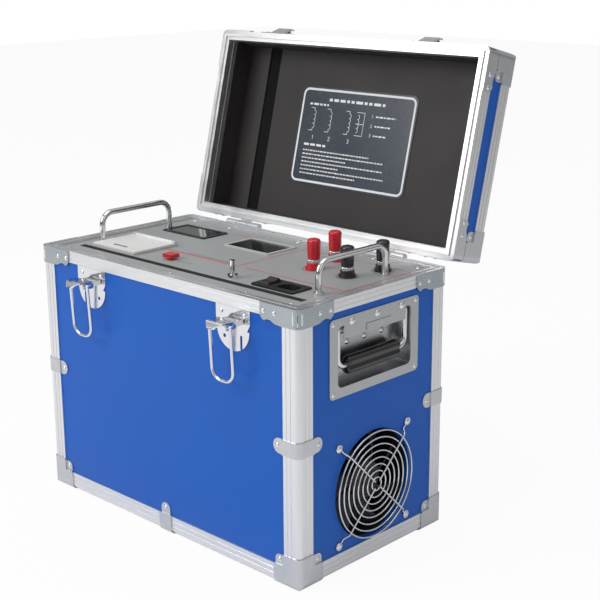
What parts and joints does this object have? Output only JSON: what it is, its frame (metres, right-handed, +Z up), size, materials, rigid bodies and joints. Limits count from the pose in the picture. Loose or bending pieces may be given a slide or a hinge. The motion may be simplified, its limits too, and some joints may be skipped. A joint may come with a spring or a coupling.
{
  "type": "transformer dc resistance tester",
  "caption": "Portable winding resistance tester built into a framed blue carrying case: hinged lid, grey panel with printer, windows and binding posts, fan, latches and handles.",
  "frame": {"origin": "middle of the case's underside, at the level of the floor", "axes": "+X towards the side with the fan, -Y towards the latches, +Z up"},
  "size_m": [0.408, 0.3696, 0.517],
  "materials": {
    "blue_laminate": "blue laminate over plywood, glossy",
    "dark_panel": "dark laminate over plywood",
    "extruded_aluminium": "satin anodised, fine grooves",
    "pressed_steel": "zinc plated, pressed",
    "brace_steel": "dark zinc plated, pressed",
    "rivets": "bright domed heads",
    "latch_steel": "bright plated",
    "bright_wire": "polished plated wire",
    "dish_steel": "zinc plated pressing",
    "grip": "black moulded grip",
    "panel_paint": "grey satin paint",
    "black_plastic": "black moulded",
    "polished_steel": "polished bar",
    "white_plastic": "white moulded",
    "printer_case": "light grey moulded",
    "paper": "plain white paper",
    "grey_bezel": "pale grey moulded",
    "window_glass": "dark clear window",
    "red_plastic": "glossy red moulded",
    "black_gloss": "glossy black moulded",
    "terminal_metal": "nickel plated",
    "rubber_seal": "black foam rubber",
    "winding": "varnished copper windings",
    "board": "green solder mask",
    "lid_lining": "dark charcoal lining",
    "label": "dark blue-grey plate"
  },
  "bodies": {
    "case": {"case_front_panel": "blue_laminate", "case_back_panel": "blue_laminate", "case_left_panel": "blue_laminate", "case_right_panel": "blue_laminate", "case_bottom_panel": "dark_panel", "case_corner_posts": "extruded_aluminium", "case_bottom_rails": "extruded_aluminium", "case_rim": "extruded_aluminium", "bottom_corner_caps": "pressed_steel", "edge_clamps": "pressed_steel", "rim_corner_braces": "brace_steel", "case_rivets": "rivets", "latch_plates": "latch_steel", "handle_dish_left": "dish_steel", "handle_dish_right": "dish_steel", "panel_support": "extruded_aluminium", "control_panel": "panel_paint", "panel_gasket": "rubber_seal", "panel_handles": "polished_steel", "panel_screws": "rivets", "printer_body": "printer_case", "paper_roll": "paper", "display_frame": "black_plastic", "meter_frame": "grey_bezel", "window_glasses": "window_glass", "post_bases_red": "red_plastic", "post_bases_black": "black_gloss", "terminal_studs": "terminal_metal", "power_inlet": "black_plastic", "fan_housing": "black_plastic", "fan_guard": "bright_wire", "test_current_transformer": "winding", "circuit_board": "board", "hinge_case_leaves": "pressed_steel"},
    "lid": {"hinge_lid_leaves": "pressed_steel", "lid_top_panel": "blue_laminate", "lid_side_panels": "blue_laminate", "lid_edge_rails": "extruded_aluminium", "lid_rim": "extruded_aluminium", "lid_corner_fittings": "pressed_steel", "lid_rivets": "rivets", "lid_keepers": "latch_steel", "lid_lining": "lid_lining", "label_plate": "label"},
    "lever_left": {"latch_lever_left": "latch_steel"},
    "lever_right": {"latch_lever_right": "latch_steel"},
    "bail_left": {"latch_bail_left": "bright_wire"},
    "bail_right": {"latch_bail_right": "bright_wire"},
    "side_handle_left": {"side_bail_left": "polished_steel", "side_grip_left": "grip"},
    "side_handle_right": {"side_bail_right": "polished_steel", "side_grip_right": "grip"},
    "fan": {"fan_rotor": "black_plastic"},
    "cap_red_front": {"post_cap_red_front": "red_plastic"},
    "cap_red_back": {"post_cap_red_back": "red_plastic"},
    "cap_black_front": {"post_cap_black_front": "black_gloss"},
    "cap_black_back": {"post_cap_black_back": "black_gloss"},
    "paper_door": {"printer_door": "white_plastic"},
    "button": {"reset_button": "red_plastic"},
    "rocker": {"power_rocker": "red_plastic"}
  },
  "joints": [
    {"name": "lid_hinge", "type": "hinge", "parent": "case", "child": "lid", "pos_m": [0, 0.1186, 0.2889], "axis": [1, 0, 0], "range_deg": [0, 104]},
    {"name": "latch_lever_left", "type": "hinge", "parent": "case", "child": "lever_left", "pos_m": [-0.112, -0.121, 0.262], "axis": [1, 0, 0], "range_deg": [0, 90]},
    {"name": "latch_lever_right", "type": "hinge", "parent": "case", "child": "lever_right", "pos_m": [0.112, -0.121, 0.262], "axis": [1, 0, 0], "range_deg": [0, 90]},
    {"name": "latch_bail_left", "type": "hinge", "parent": "lever_left", "child": "bail_left", "pos_m": [-0.112, -0.129, 0.262], "axis": [1, 0, 0], "range_deg": [-280, 0]},
    {"name": "latch_bail_right", "type": "hinge", "parent": "lever_right", "child": "bail_right", "pos_m": [0.112, -0.129, 0.262], "axis": [1, 0, 0], "range_deg": [-280, 0]},
    {"name": "side_handle_left", "type": "hinge", "parent": "case", "child": "side_handle_left", "pos_m": [-0.1945, 0, 0.256], "axis": [0, 1, 0], "range_deg": [0, 90]},
    {"name": "side_handle_right", "type": "hinge", "parent": "case", "child": "side_handle_right", "pos_m": [0.1945, 0, 0.256], "axis": [0, -1, 0], "range_deg": [0, 90]},
    {"name": "fan_spin", "type": "hinge", "parent": "case", "child": "fan", "pos_m": [0.18, 0, 0.082], "axis": [1, 0, 0], "continuous": true},
    {"name": "cap_red_front", "type": "slide", "parent": "case", "child": "cap_red_front", "axis": [0, 0, 1], "range_m": [0, 0.005]},
    {"name": "cap_red_back", "type": "slide", "parent": "case", "child": "cap_red_back", "axis": [0, 0, 1], "range_m": [0, 0.005]},
    {"name": "cap_black_front", "type": "slide", "parent": "case", "child": "cap_black_front", "axis": [0, 0, 1], "range_m": [0, 0.005]},
    {"name": "cap_black_back", "type": "slide", "parent": "case", "child": "cap_black_back", "axis": [0, 0, 1], "range_m": [0, 0.005]},
    {"name": "paper_door", "type": "hinge", "parent": "case", "child": "paper_door", "pos_m": [-0.126, -0.0093, 0.2908], "axis": [1, 0, 0], "range_deg": [-80, 0]},
    {"name": "reset_button", "type": "slide", "parent": "case", "child": "button", "axis": [0, 0, 1], "range_m": [-0.002, 0], "stiffness_N_per_m": 300, "springref_m": 0.0005},
    {"name": "power_rocker", "type": "hinge", "parent": "case", "child": "rocker", "pos_m": [0.106, -0.054, 0.287], "axis": [1, 0, 0], "range_deg": [-16, 0]}
  ],
  "couplings": [
    {"joint": "latch_bail_left", "follows": "latch_lever_left", "ratio": -3.08},
    {"joint": "latch_bail_right", "follows": "latch_lever_right", "ratio": -3.08}
  ]
}
